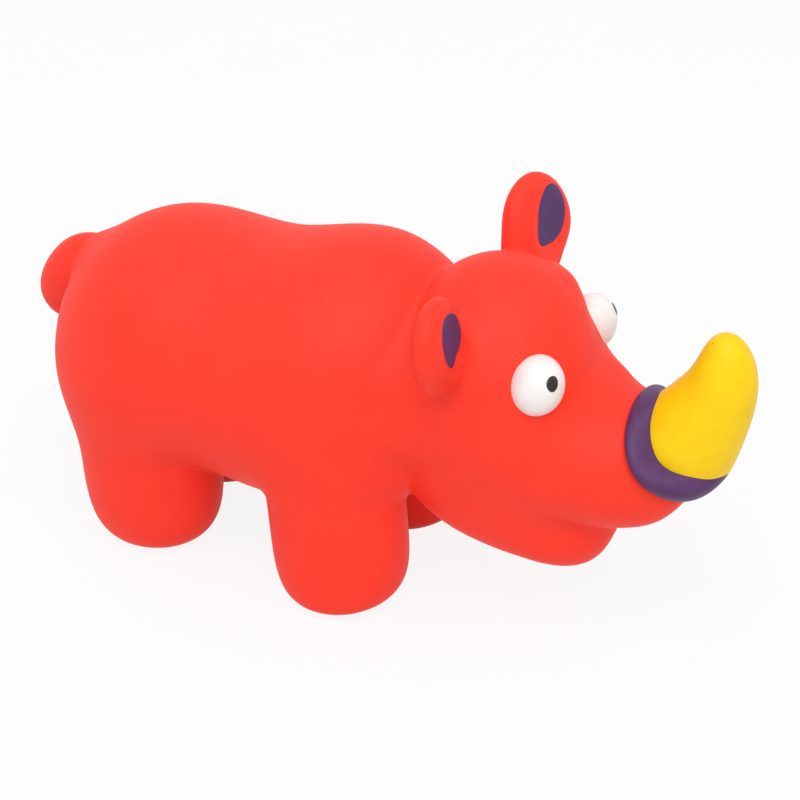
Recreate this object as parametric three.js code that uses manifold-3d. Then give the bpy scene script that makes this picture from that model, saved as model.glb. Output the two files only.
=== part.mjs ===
// Squeaky dog toy: a hollow latex rhinoceros stuffed with fibre, with a reed squeaker in its belly.
// Millimetres. +X points to the nose, +Y to the animal's left, +Z up. The soles stand on z = 0.
import * as THREE from 'three';
import { mergeVertices } from 'three/addons/utils/BufferGeometryUtils.js';
import Module from 'manifold-3d';

const wasm = await Module();
wasm.setup();

// The moulded skin
const WALL = 2;
const SOLE_THICKNESS = 3;
const GAP = 0.3;
const SOLE_FLAT = 0.5;

// Swollen forms: each row is one station of a spine, as [x, z, half height, half width].
const TORSO = [
  [-85.6, 46.1, 37.1, 33.5],
  [-55.6, 54.3, 33.1, 36.3],
  [-25.6, 51.6, 33.1, 35.5],
  [4.4, 54.2, 37.1, 36.1],
  [34.4, 53.6, 29.4, 29.1],
];
const SKULL = [
  [11.2, 67.3, 28.8, 28.2],
  [29.7, 61.2, 33.6, 30.5],
  [49.7, 49, 21.7, 25.4],
  [70.7, 44, 16.5, 18.8],
  [83, 38, 16.2, 16.2],
];
const JAW = [
  [18.7, 40.2, 18.9, 27.1],
  [47.2, 28.7, 12.9, 20.2],
  [66.5, 21.5, 11.7, 14.8],
];
// How square each form's rear and front ends are: 2 is round.
const TORSO_ENDS = [2.6, 2.6];
const SKULL_ENDS = [2.4, 3];
const JAW_ENDS = [2.4, 2.6];

// Legs
const FRONT_LEG = {
  y: 20,
  sole: { x: 3.2, long: 17.3, wide: 17.9 },
  hip: { x: -1.2, z: 54, long: 18.4, wide: 12.5 },
  ends: [5, 5],
};
const REAR_LEG = {
  y: 17.1,
  sole: { x: -54.7, long: 18.4, wide: 16.5 },
  hip: { x: -54.8, z: 47, long: 22, wide: 14.2 },
  ends: [4, 5],
};

// Flanks: the oval of each side wall that gives when it is squeezed
const FLANK_X = -42;
const FLANK_Z = 63;
const FLANK_HALF_LENGTH = 29;
const FLANK_HALF_HEIGHT = 14;
const FLANK_GAP = 0.4;

// Tail: [x, z, radius] along its curl, and its bending hinge
const TAIL = [
  [-71.3, 65.5, 8],
  [-80.3, 67, 7.5],
  [-86.5, 63, 7],
  [-91.2, 56.3, 6],
  [-90.5, 48.8, 5],
];
const TAIL_ENDS = [4, 2.2];
const TAIL_HINGE_X = -78.8;
const TAIL_HINGE_Z = 68;
const TAIL_LIFT_DEG = 25;

// Ears: a blade, as [0, height, half thickness, half width], on a root whose foot stands inside the skull, at
// a distance along the ear from the skull's middle
const EAR_BLADE = [
  [0, -7, 5.3, 10.5],
  [0, 3, 5.4, 12.2],
  [0, 13, 5, 12],
];
const EAR_ROOT_HALF_THICK = 4.8;
const EAR_ROOT_HALF_WIDE = 8;
const EAR_ROOT_STAND = 21;
const EAR_ENDS = [5, 2.2];
const EAR_BEND_DEG = 20;
const EAR_HINGE_RISE = 6.5;
const EAR_CUP_FORWARD = 6.2;
const EAR_CUP_RAISE = 2;
const EAR_CUP_DEPTH = 2.6;
const EAR_CUP_HALF_WIDE = 8.9;
const EAR_CUP_HALF_HIGH = 11.5;
const EAR_LINING = 0.9;
const LEFT_EAR = { x: 31.4, y: 32.5, z: 85, lean: 35, back: 5, turn: -20, size: 1 };
const RIGHT_EAR = { x: 32.6, y: -31.9, z: 83, lean: -36, back: 0, turn: 6, size: 0.88 };

// Eyes
const EYE_X = 51.2;
const EYE_Y = 18;
const EYE_Z = 70;
const EYE_RADIUS = 7;
const PUPIL_RADIUS = 1.65;
const PUPIL_THICKNESS = 0.5;
const GAZE = new THREE.Vector3(0.76, 0.46, 0.45);

// Horn: [x, z, radius] from its foot to its tip
const HORN = [
  [81, 51.3, 13.4],
  [87, 65, 9.6],
  [88.8, 74.5, 7.2],
  [87.7, 82.7, 5.8],
];
const HORN_ENDS = [12, 2.4];
const HORN_BEND_DEG = 8;
const HORN_BEND_ROOM = 0.01;

// Ring round the horn's foot: a bead from an oval on the snout, leaning forward by its tilt, to an edge on the horn.
// The edge's place, as a share of the horn's length, and the bead's swell vary once and twice round the horn:
// each is [mean, once, twice], measured from the rear.
const COLLAR_FOOT = { x: 76.7, z: 51.8, tilt: 42.8, high: 11.9, wide: 14.8 };
const COLLAR_EDGE = [0.092, 0.038, 0.05];
const COLLAR_SWELL = [3.3, 0.2, -2];
const COLLAR_SOCKET = 0.1;

// Stuffing
const FILLING_CLEARANCE = 0.5;

// Squeaker, standing upright in the belly under the middle of the torso
const SQUEAKER_RADIUS = 8;
const SQUEAKER_BORE = 6.8;
const SQUEAKER_LENGTH = 18;
const SQUEAKER_LIP_RADIUS = 10.6;
const SQUEAKER_LIP_THICKNESS = 1.4;
const SQUEAKER_BARB_RADIUS = 9.2;
const SQUEAKER_BARB_HEIGHT = 2.2;
const BELLY_RIM_RADIUS = 12.6;
const BELLY_RIM_HEIGHT = 5;
const CAP_THICKNESS = 1.4;
const CAP_VENT_RADIUS = 0.9;
const CAP_VENT_CIRCLE = 3.6;
const CAP_VENTS = 6;
const REED_SEAT_LENGTH = 11;
const REED_SEAT_RISE = 3.5;
const REED_WIDTH = 6;
const REED_THICKNESS = 0.4;
const REED_CLAMP = 3;
const REED_FREE = 6.5;
const REED_ROOM = 1.2;

// Facets along and round each kind of form
const TORSO_FACETS = [15, 22];
const SKULL_FACETS = [13, 20];
const JAW_FACETS = [8, 16];
const LEG_FACETS = [16, 14];
const SMALL_FACETS = [9, 14];
const COLLAR_FACETS = [9, 20];
const ROUND = 18;
const HOLE_FACETS = 8;
const MERGE_DISTANCE = 1e-4;
const TANGENT_STEP = 1e-3;

const skinOf = (colour, roughness) =>
  new THREE.MeshStandardMaterial({ color: colour, roughness, metalness: 0 });
const LATEX = 0xff4030;
const finish = {
  latex: () => skinOf(LATEX, 0.55),
  lining: () => skinOf(0x55377a, 0.6),
  collar: () => skinOf(0x5c3e73, 0.55),
  horn: () => skinOf(0xf8d21c, 0.5),
  eye: () => skinOf(0xf6f4f2, 0.35),
  pupil: () => skinOf(0x141414, 0.35),
  fibre: () => skinOf(0xefece4, 0.95),
  plastic: () => skinOf(0xe8e6df, 0.4),
  film: () => skinOf(0xbcd2dc, 0.3),
};

// Natural cubic spline through equally spaced values, as a function of t from 0 to 1.
function spline(values) {
  const last = values.length - 1;
  const bend = new Array(last + 1).fill(0);
  const ratio = new Array(last + 1).fill(0);
  for (let i = 1; i < last; i += 1) {
    const pivot = 4 - ratio[i - 1];
    const kink = 6 * (values[i + 1] - 2 * values[i] + values[i - 1]);
    ratio[i] = 1 / pivot;
    bend[i] = (kink - bend[i - 1]) / pivot;
  }
  for (let i = last - 1; i > 0; i -= 1) bend[i] -= ratio[i] * bend[i + 1];
  return (t) => {
    const at = Math.min(Math.max(Math.floor(t * last), 0), last - 1);
    const b = t * last - at;
    const a = 1 - b;
    const curve = ((a ** 3 - a) * bend[at] + (b ** 3 - b) * bend[at + 1]) / 6;
    return a * values[at] + b * values[at + 1] + curve;
  };
}

// A closed skin over rings of points: ring(u, angle) for u between 0 and 1, and a pole at each end.
function closedSkin(ring, [rows, columns]) {
  const points = [ring(0, 0)];
  for (let row = 1; row < rows; row += 1) {
    for (let k = 0; k < columns; k += 1) points.push(ring(row / rows, (2 * Math.PI * k) / columns));
  }
  points.push(ring(1, 0));
  const at = (row, k) => 1 + (row - 1) * columns + (k % columns);
  const faces = [];
  for (let k = 0; k < columns; k += 1) {
    faces.push(0, at(1, k), at(1, k + 1));
    for (let row = 1; row < rows - 1; row += 1) {
      faces.push(at(row, k), at(row + 1, k), at(row + 1, k + 1));
      faces.push(at(row, k), at(row + 1, k + 1), at(row, k + 1));
    }
    faces.push(at(rows - 1, k), points.length - 1, at(rows - 1, k + 1));
  }
  const geometry = new THREE.BufferGeometry().setFromPoints(points);
  geometry.setIndex(faces);
  return geometry;
}

// The rings of a swollen form along its spine, at a sideways place y, drawn in all round by inset. Its sections
// stand square to the spine, or upright.
function ringsOf(stations, ends, { y = 0, inset = 0, upright = false } = {}) {
  const [x, z, high, wide] = [0, 1, 2, 3].map((k) => spline(stations.map((s) => s[k] ?? s[2])));
  const length = stations
    .slice(1)
    .reduce((sum, s, i) => sum + Math.hypot(s[0] - stations[i][0], s[1] - stations[i][1]), 0);
  const trim = inset / length;
  return (u, angle) => {
    const reach = -Math.cos(Math.PI * u);
    const square = reach < 0 ? ends[0] : ends[1];
    const close = Math.max(1 - Math.abs(reach) ** square, 0) ** (1 / square);
    const t = trim + ((reach + 1) / 2) * (1 - 2 * trim);
    const [before, after] = [t - TANGENT_STEP, t + TANGENT_STEP];
    const along = new THREE.Vector2(x(after) - x(before), z(after) - z(before)).normalize();
    const tangent = upright ? new THREE.Vector2(1, 0) : along;
    const up = (high(t) - inset) * close * Math.cos(angle);
    const side = (wide(t) - inset) * close * Math.sin(angle);
    return new THREE.Vector3(x(t) - tangent.y * up, y + side, z(t) + tangent.x * up);
  };
}
function swollen(stations, ends, facets, options) {
  return closedSkin(ringsOf(stations, ends, options), facets);
}

function solid(geometry) {
  const bare = geometry.clone();
  bare.deleteAttribute('normal');
  bare.deleteAttribute('uv');
  const merged = mergeVertices(bare, MERGE_DISTANCE);
  return new wasm.Manifold(
    new wasm.Mesh({
      numProp: 3,
      vertProperties: new Float32Array(merged.attributes.position.array),
      triVerts: new Uint32Array(merged.index.array),
    }),
  );
}

function geometryOf(shape) {
  const mesh = shape.getMesh();
  const geometry = new THREE.BufferGeometry();
  geometry.setAttribute('position', new THREE.BufferAttribute(mesh.vertProperties, 3));
  geometry.setIndex(new THREE.BufferAttribute(mesh.triVerts, 1));
  geometry.computeVertexNormals();
  return geometry;
}

const group = new THREE.Group();
function place(name, shape, material) {
  const mesh = new THREE.Mesh(geometryOf(shape), material);
  mesh.name = name;
  group.add(mesh);
}

const cutBy = (shape, ...others) => others.reduce((left, other) => left.subtract(other), shape);
const joined = (...shapes) => shapes.reduce((sum, shape) => sum.add(shape));

// A copy of a geometry turned about a hinge line.
function turned(geometry, hinge, axis, degrees) {
  const copy = geometry.clone();
  copy.translate(-hinge.x, -hinge.y, -hinge.z);
  copy.applyMatrix4(new THREE.Matrix4().makeRotationAxis(axis, THREE.MathUtils.degToRad(degrees)));
  copy.translate(hinge.x, hinge.y, hinge.z);
  return copy;
}

// A piece that bends on a hinge, cut so that it clears what it stands on at rest and at both limits.
function bendable(shape, standsOn, hinge, axis, limits) {
  const copies = standsOn.flatMap((geometry) =>
    [0, ...limits].map((degrees) => solid(turned(geometry, hinge, axis, -degrees))),
  );
  return cutBy(shape, ...copies);
}

// An upright turned piece at (x, y): profile points are [radius, z].
function lathed(profile, x, y, facets = ROUND) {
  const points = profile.map(([radius, z]) => new THREE.Vector2(radius, z));
  const geometry = new THREE.LatheGeometry(points, facets);
  geometry.rotateX(Math.PI / 2);
  geometry.translate(x, y, 0);
  return geometry;
}
function rod(radius, low, high, x, y, facets) {
  const profile = [
    [0, low],
    [radius, low],
    [radius, high],
    [0, high],
  ];
  return solid(lathed(profile, x, y, facets));
}
function box(low, high) {
  const size = high.map((v, k) => v - low[k]);
  const geometry = new THREE.BoxGeometry(...size);
  geometry.translate(...low.map((v, k) => v + size[k] / 2));
  return solid(geometry);
}

// The main forms, each with its hollow (drawn in by the wall) and its outline grown by the clearance
const torsoForm = (inset) => swollen(TORSO, TORSO_ENDS, TORSO_FACETS, { inset, upright: true });
const skullForm = (inset) => swollen(SKULL, SKULL_ENDS, SKULL_FACETS, { inset });
const jawForm = (inset) => swollen(JAW, JAW_ENDS, JAW_FACETS, { inset });
const headForm = (inset) => joined(solid(skullForm(inset)), solid(jawForm(inset)));
const torsoSpace = solid(torsoForm(-GAP));
const headSpace = headForm(-GAP);
const headHollow = headForm(WALL);

function legForm(leg, side, inset, bottom) {
  const stations = [
    [leg.sole.x, bottom, leg.sole.long, leg.sole.wide],
    [leg.hip.x, leg.hip.z, leg.hip.long, leg.hip.wide],
  ];
  return swollen(stations, leg.ends, LEG_FACETS, { y: side * leg.y, inset });
}
function floorUnder(leg, side) {
  const [x, y] = [leg.sole.x, side * leg.y];
  const [long, wide] = [2 * leg.sole.long, 2 * leg.sole.wide];
  return box([x - long, y - wide, -long], [x + long, y + wide, 0]);
}
const legs = [
  ['front_left_leg', FRONT_LEG, 1],
  ['front_right_leg', FRONT_LEG, -1],
  ['rear_left_leg', REAR_LEG, 1],
  ['rear_right_leg', REAR_LEG, -1],
].map(([name, leg, side]) => ({
  name,
  floor: floorUnder(leg, side),
  outside: solid(legForm(leg, side, 0, -SOLE_FLAT)),
  hollow: solid(legForm(leg, side, WALL, SOLE_THICKNESS - WALL)),
}));

// Squeaker place: under the lowest point of the torso's middle station
const [SQUEAKER_X, MIDDLE_Z, MIDDLE_HIGH] = TORSO[2];
const BELLY_Z = MIDDLE_Z - MIDDLE_HIGH;

function torsoWall() {
  const rim = rod(BELLY_RIM_RADIUS, BELLY_Z, BELLY_Z + BELLY_RIM_HEIGHT, SQUEAKER_X, 0);
  const wall = joined(cutBy(solid(torsoForm(0)), solid(torsoForm(WALL))), rim);
  const hole = rod(SQUEAKER_RADIUS + GAP, BELLY_Z - WALL, BELLY_Z + 2 * BELLY_RIM_HEIGHT, SQUEAKER_X, 0);
  const spotFace = rod(BELLY_RIM_RADIUS, BELLY_Z - BELLY_RIM_HEIGHT, BELLY_Z, SQUEAKER_X, 0);
  return cutBy(wall, hole, spotFace, headHollow, ...legs.map((leg) => leg.hollow));
}

// An oval prism through one side wall, for the flank (grow 0) or for its opening (grow FLANK_GAP)
function flankPrism(side, grow) {
  const oval = new THREE.Shape();
  oval.absellipse(0, 0, FLANK_HALF_LENGTH + grow, FLANK_HALF_HEIGHT + grow, 0, 2 * Math.PI);
  const reach = Math.max(...TORSO.map((station) => station[3])) + WALL;
  const inner = reach / 3;
  const prism = new THREE.ExtrudeGeometry(oval, {
    depth: reach - inner,
    bevelEnabled: false,
    curveSegments: ROUND,
  });
  prism.rotateX(-side * (Math.PI / 2));
  prism.translate(FLANK_X, side * inner, FLANK_Z);
  return solid(prism);
}

const wall = torsoWall();
place('torso_skin', cutBy(wall, flankPrism(1, FLANK_GAP), flankPrism(-1, FLANK_GAP)), finish.latex());
place('left_flank_skin', wall.intersect(flankPrism(1, 0)), finish.latex());
place('right_flank_skin', wall.intersect(flankPrism(-1, 0)), finish.latex());

// Ear frame: local x faces forward through the blade, y across it, z up it
function earMatrix(ear) {
  const lean = new THREE.Matrix4().makeRotationX(THREE.MathUtils.degToRad(-ear.lean));
  const back = new THREE.Matrix4().makeRotationY(THREE.MathUtils.degToRad(-ear.back));
  const turn = new THREE.Matrix4().makeRotationZ(THREE.MathUtils.degToRad(ear.turn));
  const size = new THREE.Matrix4().makeScale(ear.size, ear.size, ear.size);
  return lean.multiply(back).multiply(turn).multiply(size).setPosition(ear.x, ear.y, ear.z);
}
function ellipsoid(radii, centre) {
  const geometry = new THREE.SphereGeometry(1, ROUND, ROUND / 2);
  geometry.rotateX(Math.PI / 2);
  geometry.scale(...radii);
  geometry.translate(...centre);
  return geometry;
}
// Height of the root's foot on the ear's own axis, so that it reaches the skull wherever the ear stands
function earFoot(ear, axis) {
  const [skullX, skullZ] = SKULL[1];
  const above = new THREE.Vector3(ear.x - skullX, ear.y, ear.z - skullZ).dot(axis);
  return (EAR_ROOT_STAND - above) / ear.size;
}
function placeEar(name, ear) {
  const matrix = earMatrix(ear);
  const foot = earFoot(ear, new THREE.Vector3(0, 0, 1).transformDirection(matrix));
  const stations = [[0, foot, EAR_ROOT_HALF_THICK, EAR_ROOT_HALF_WIDE], ...EAR_BLADE];
  const cupAt = (forward, shrink) => {
    const radii = [EAR_CUP_DEPTH, EAR_CUP_HALF_WIDE, EAR_CUP_HALF_HIGH].map((radius) => radius - shrink);
    return solid(ellipsoid(radii, [EAR_CUP_FORWARD + forward, 0, EAR_CUP_RAISE]).applyMatrix4(matrix));
  };
  const paddle = solid(swollen(stations, EAR_ENDS, SMALL_FACETS).applyMatrix4(matrix));
  const hinge = new THREE.Vector3(0, 0, foot + EAR_HINGE_RISE).applyMatrix4(matrix);
  const across = new THREE.Vector3(0, 1, 0).transformDirection(matrix);
  const blade = cutBy(paddle, cupAt(0, 0));
  const limits = [-EAR_BEND_DEG, EAR_BEND_DEG];
  const standsOn = [skullForm(-GAP), torsoForm(-GAP)];
  place(name, bendable(blade, standsOn, hinge, across, limits), finish.latex());
  const bowl = cutBy(cupAt(0, GAP).intersect(paddle), cupAt(EAR_LINING, GAP));
  place(`${name}_lining`, bowl, finish.lining());
}

// Head, with the ring and the horn on its snout
const hornForm = (inset) => swollen(HORN, HORN_ENDS, SMALL_FACETS, { inset });
const hornHinge = new THREE.Vector3(HORN[0][0], 0, HORN[0][1]);
const sideways = new THREE.Vector3(0, 1, 0);
const hornLimits = [-HORN_BEND_DEG, HORN_BEND_DEG];
place('head_skin', cutBy(headForm(0), headHollow, torsoSpace), finish.latex());
const horn = bendable(solid(hornForm(0)), [skullForm(-GAP)], hornHinge, sideways, hornLimits);
place('horn', horn, finish.horn());

// A value that varies once and twice round the horn, at an angle from its rear
const varied = ([mean, once, twice], angle) => mean + once * Math.cos(angle) + twice * Math.cos(2 * angle);
function collarRing() {
  const tilt = THREE.MathUtils.degToRad(COLLAR_FOOT.tilt);
  const foot = new THREE.Vector3(COLLAR_FOOT.x, 0, COLLAR_FOOT.z);
  const onHorn = ringsOf(HORN, HORN_ENDS);
  const inHorn = ringsOf(HORN.map(([x, z]) => [x, z, 0]), HORN_ENDS);
  const [rows] = COLLAR_FACETS;
  const ring = (u, angle) => {
    const edge = Math.acos(1 - 2 * varied(COLLAR_EDGE, angle)) / Math.PI;
    const middle = inHorn(edge, angle);
    if (u === 0) return foot.clone().lerp(middle, -1 / (rows - 3));
    if (u === 1) return middle;
    const along = (u * rows - 2) / (rows - 3);
    const back = COLLAR_FOOT.high * Math.cos(angle);
    const side = COLLAR_FOOT.wide * Math.sin(angle);
    const low = new THREE.Vector3(-Math.sin(tilt) * back, side, Math.cos(tilt) * back).add(foot);
    const top = onHorn(edge, angle);
    const outwards = low.clone().add(top).sub(foot).sub(middle).normalize();
    const swell = Math.max(4 * along * (1 - along), 0) * varied(COLLAR_SWELL, angle);
    return low.lerp(top, along).addScaledVector(outwards, swell);
  };
  return solid(closedSkin(ring, COLLAR_FACETS));
}
const hornPath = [0, ...hornLimits].map((degrees) =>
  solid(turned(hornForm(-GAP - Math.abs(degrees) * HORN_BEND_ROOM), hornHinge, sideways, degrees)),
);
// The room under the horn's foot, which runs down along the start of its spine
function hornSocket() {
  const [[x, z, radius], [nextX, nextZ]] = HORN;
  const at = (share) => [x + share * (nextX - x), z + share * (nextZ - z), radius - GAP];
  return solid(swollen([at(-1), at(COLLAR_SOCKET)], [HORN_ENDS[0], HORN_ENDS[0]], SMALL_FACETS));
}
place('horn_collar', cutBy(collarRing(), headSpace, hornSocket(), ...hornPath), finish.collar());

for (const leg of legs) {
  place(leg.name, cutBy(leg.outside, leg.hollow, torsoSpace, headSpace, leg.floor), finish.latex());
}

const tailHinge = new THREE.Vector3(TAIL_HINGE_X, 0, TAIL_HINGE_Z);
const tailForm = solid(swollen(TAIL, TAIL_ENDS, SMALL_FACETS));
place('tail', bendable(tailForm, [torsoForm(-GAP)], tailHinge, sideways, [TAIL_LIFT_DEG]), finish.latex());

placeEar('left_ear', LEFT_EAR);
placeEar('right_ear', RIGHT_EAR);

// Eyeballs on the sides of the skull, each with a pupil that looks forward
for (const [word, side] of [['left', 1], ['right', -1]]) {
  const centre = [EYE_X, side * EYE_Y, EYE_Z];
  const ball = (radius) => {
    const sphere = new THREE.SphereGeometry(radius, ROUND, ROUND / 2);
    sphere.translate(...centre);
    return solid(sphere);
  };
  place(`${word}_eye`, cutBy(ball(EYE_RADIUS), headSpace), finish.eye());
  const gaze = new THREE.Vector3(GAZE.x, side * GAZE.y, GAZE.z).normalize();
  const disc = new THREE.CylinderGeometry(PUPIL_RADIUS, PUPIL_RADIUS, EYE_RADIUS, ROUND / 2);
  disc.translate(0, EYE_RADIUS, 0);
  disc.applyQuaternion(new THREE.Quaternion().setFromUnitVectors(new THREE.Vector3(0, 1, 0), gaze));
  disc.translate(...centre);
  const layer = cutBy(ball(EYE_RADIUS + GAP + PUPIL_THICKNESS), ball(EYE_RADIUS + GAP));
  place(`${word}_pupil`, layer.intersect(solid(disc)), finish.pupil());
}

// Squeaker: a sleeve held by the belly's rim, a vented cap, and the reed between its seat and its wedge
const sleeveLow = BELLY_Z - GAP - SQUEAKER_LIP_THICKNESS;
const sleeveHigh = BELLY_Z + SQUEAKER_LENGTH;
const barbLow = BELLY_Z + BELLY_RIM_HEIGHT + GAP;
place(
  'squeaker_body',
  solid(
    lathed(
      [
        [SQUEAKER_BORE, sleeveLow],
        [SQUEAKER_LIP_RADIUS, sleeveLow],
        [SQUEAKER_LIP_RADIUS, BELLY_Z - GAP],
        [SQUEAKER_RADIUS, BELLY_Z - GAP],
        [SQUEAKER_RADIUS, barbLow],
        [SQUEAKER_BARB_RADIUS, barbLow],
        [SQUEAKER_RADIUS, barbLow + SQUEAKER_BARB_HEIGHT],
        [SQUEAKER_RADIUS, sleeveHigh],
        [SQUEAKER_BORE, sleeveHigh],
        [SQUEAKER_BORE, sleeveLow],
      ],
      SQUEAKER_X,
      0,
    ),
  ),
  finish.plastic(),
);

const fitRadius = SQUEAKER_BORE - GAP;
const vents = Array.from({ length: CAP_VENTS }, (_, k) => {
  const angle = (2 * Math.PI * k) / CAP_VENTS;
  const x = SQUEAKER_X + CAP_VENT_CIRCLE * Math.cos(angle);
  const y = CAP_VENT_CIRCLE * Math.sin(angle);
  return rod(CAP_VENT_RADIUS, sleeveLow - CAP_THICKNESS, sleeveLow + 2 * CAP_THICKNESS, x, y, HOLE_FACETS);
});
const capDisc = rod(fitRadius, sleeveLow, sleeveLow + CAP_THICKNESS, SQUEAKER_X, 0);
place('squeaker_cap', cutBy(capDisc, ...vents), finish.plastic());

const seatLow = sleeveLow + CAP_THICKNESS + REED_SEAT_RISE;
const seatHigh = seatLow + REED_SEAT_LENGTH;
const clampLow = seatHigh - REED_CLAMP;
const face = REED_THICKNESS / 2 + GAP;
const core = rod(fitRadius, seatLow, seatHigh, SQUEAKER_X, 0);
const wide = 2 * SQUEAKER_RADIUS;
const [under, over] = [seatLow - REED_CLAMP, seatHigh + REED_CLAMP];
const [left, right] = [SQUEAKER_X - wide, SQUEAKER_X + wide];
const farSide = box([left, -face, under], [right, wide, over]);
const room = box([left, -face - REED_ROOM, under], [right, 0, clampLow]);
place('reed_seat', cutBy(core, farSide, room), finish.plastic());
const nearSide = box([left, -wide, under], [right, face, over]);
const underWedge = box([left, -wide, under], [right, wide, clampLow]);
place('reed_wedge', cutBy(core, nearSide, underWedge), finish.plastic());
const strip = box(
  [SQUEAKER_X - REED_WIDTH / 2, -REED_THICKNESS / 2, clampLow - REED_FREE],
  [SQUEAKER_X + REED_WIDTH / 2, REED_THICKNESS / 2, seatHigh],
);
place('reed', strip, finish.film());

// Stuffing, kept clear of the skin and of the squeaker
const drawIn = WALL + FILLING_CLEARANCE;
const pocketRadius = Math.max(BELLY_RIM_RADIUS, SQUEAKER_BARB_RADIUS) + FILLING_CLEARANCE;
const pocket = rod(pocketRadius, 0, sleeveHigh + FILLING_CLEARANCE, SQUEAKER_X, 0);
place('torso_filling', cutBy(solid(torsoForm(drawIn)), pocket), finish.fibre());
place('head_filling', cutBy(headForm(drawIn), solid(torsoForm(WALL - FILLING_CLEARANCE))), finish.fibre());

export default group;
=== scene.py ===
"""Looks of a squeaky dog toy: a stuffed latex rhinoceros, painted by hand, with a reed squeaker in its belly.

Shapes are worked out in millimetres in the part's own frame: +X to the nose, +Y to the animal's left, +Z up,
with the soles on z = 0. They go into the meshes in metres.
"""

import math
from itertools import product

import bpy
import numpy as np
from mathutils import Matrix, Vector


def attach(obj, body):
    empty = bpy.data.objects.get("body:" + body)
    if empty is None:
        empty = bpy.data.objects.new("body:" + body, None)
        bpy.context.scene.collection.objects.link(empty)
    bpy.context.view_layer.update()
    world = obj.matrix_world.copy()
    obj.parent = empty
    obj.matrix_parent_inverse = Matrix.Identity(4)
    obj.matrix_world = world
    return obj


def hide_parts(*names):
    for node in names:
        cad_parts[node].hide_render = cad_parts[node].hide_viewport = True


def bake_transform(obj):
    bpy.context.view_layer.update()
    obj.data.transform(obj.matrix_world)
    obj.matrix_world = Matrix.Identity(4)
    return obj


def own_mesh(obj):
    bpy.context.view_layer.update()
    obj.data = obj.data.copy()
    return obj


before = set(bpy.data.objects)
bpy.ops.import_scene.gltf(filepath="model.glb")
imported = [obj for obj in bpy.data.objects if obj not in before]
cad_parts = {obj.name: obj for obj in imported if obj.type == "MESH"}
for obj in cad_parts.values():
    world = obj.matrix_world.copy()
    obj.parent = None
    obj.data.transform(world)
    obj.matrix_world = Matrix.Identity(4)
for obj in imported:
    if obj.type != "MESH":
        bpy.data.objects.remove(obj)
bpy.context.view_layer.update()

MM = 0.001

# The moulded skin: its wall, the box that holds it and the cells that it is meshed in
WALL = 2.0
SKIN_BOX = ((-97.0, -45.0, -3.0), (101.0, 45.0, 104.0))
SKIN_CELL = 1.15
FIELD_STEP = 0.02
LEAST_SLOPE = 0.2

# Swollen forms: each row is one station of a spine, as [x, z, half height, half width]
TORSO = [
    [-85.6, 46.1, 37.1, 33.5],
    [-55.6, 54.3, 33.1, 36.3],
    [-25.6, 51.6, 33.1, 35.5],
    [4.4, 54.2, 37.1, 36.1],
    [34.4, 53.6, 29.4, 29.1],
]
SKULL = [
    [11.2, 67.3, 28.8, 28.2],
    [29.7, 61.2, 33.6, 30.5],
    [49.7, 49, 21.7, 25.4],
    [70.7, 44, 16.5, 18.8],
    [83, 38, 16.2, 16.2],
]
JAW = [
    [18.7, 40.2, 18.9, 27.1],
    [47.2, 28.7, 12.9, 20.2],
    [66.5, 21.5, 11.7, 14.8],
]
TORSO_ENDS = (2.6, 2.6)
SKULL_ENDS = (2.4, 3.0)
JAW_ENDS = (2.4, 2.6)
# How far past its ends, as a share of its length, a spine is followed
SPINE_REACH = 0.6
# Hollows and swellings of the brow beside the left eye: height, spread and depth, and where they fade
BROW = ((84, 3, -0.9), (74.5, 4, 1.1), (62, 4, -1))
BROW_SIDE = (3.0, 12.0)
BROW_BAND = (38.0, 44.0, 62.0, 68.0)
SOLE_FLAT = 0.5
FRONT_LEG = {
    "y": 20,
    "sole": (3.2, -SOLE_FLAT, 17.3, 17.9),
    "hip": (-1.2, 54, 18.4, 12.5),
    "ends": (5.0, 5.0),
}
REAR_LEG = {
    "y": 17.1,
    "sole": (-54.7, -SOLE_FLAT, 18.4, 16.5),
    "hip": (-54.3, 54, 20.3, 16.6),
    "ends": (4.0, 5.0),
}

# Fillets where one form runs into the next, tight and wide, and the heights or lengths between which
# they change
LEG_FILLETS = (2.0, 10.0)
LEG_BAND = (26.0, 40.0)
BELLY_BAND = (-46.0, -40.0, -14.0, -8.0)
THROAT_BAND = (8.0, 16.0)
MOUTH_FILLETS = (3.0, 14.0)
MOUTH_BAND = (44.0, 62.0)
NECK_FILLETS = (2.0, 12.0)
NECK_BAND = (40.0, 54.0, 64.0, 80.0)
TAIL_FILLETS = (2.0, 7.0)
TAIL_BAND = (60.0, 68.0)
EAR_FILLET = 5.5
SOLE_EDGE = 0.5

# Squeaker in the belly
SQUEAKER_X = -25.6
BELLY_Z = 18.5
BELLY_RIM_RADIUS = 12.6
BELLY_RIM_HEIGHT = 5.0
SQUEAKER_RADIUS = 8.0
SQUEAKER_BORE = 6.8
SQUEAKER_LENGTH = 18.0
SQUEAKER_LIP_RADIUS = 10.6
SQUEAKER_LIP = (16.8, 18.2)
SQUEAKER_BARB = (9.2, 23.8, 26.0)
SQUEAKER_FIT = 0.3
SQUEAKER_EDGE = 0.35
BELLY_EDGE = 2.0
POCKET_MARGIN = 1.0

# Flanks: the cap of each side, seen along its own direction, that gives when it is squeezed
FLANK_AIM = (-0.15, 0.925, 0.35)
FLANK_START = 48.2

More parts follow.
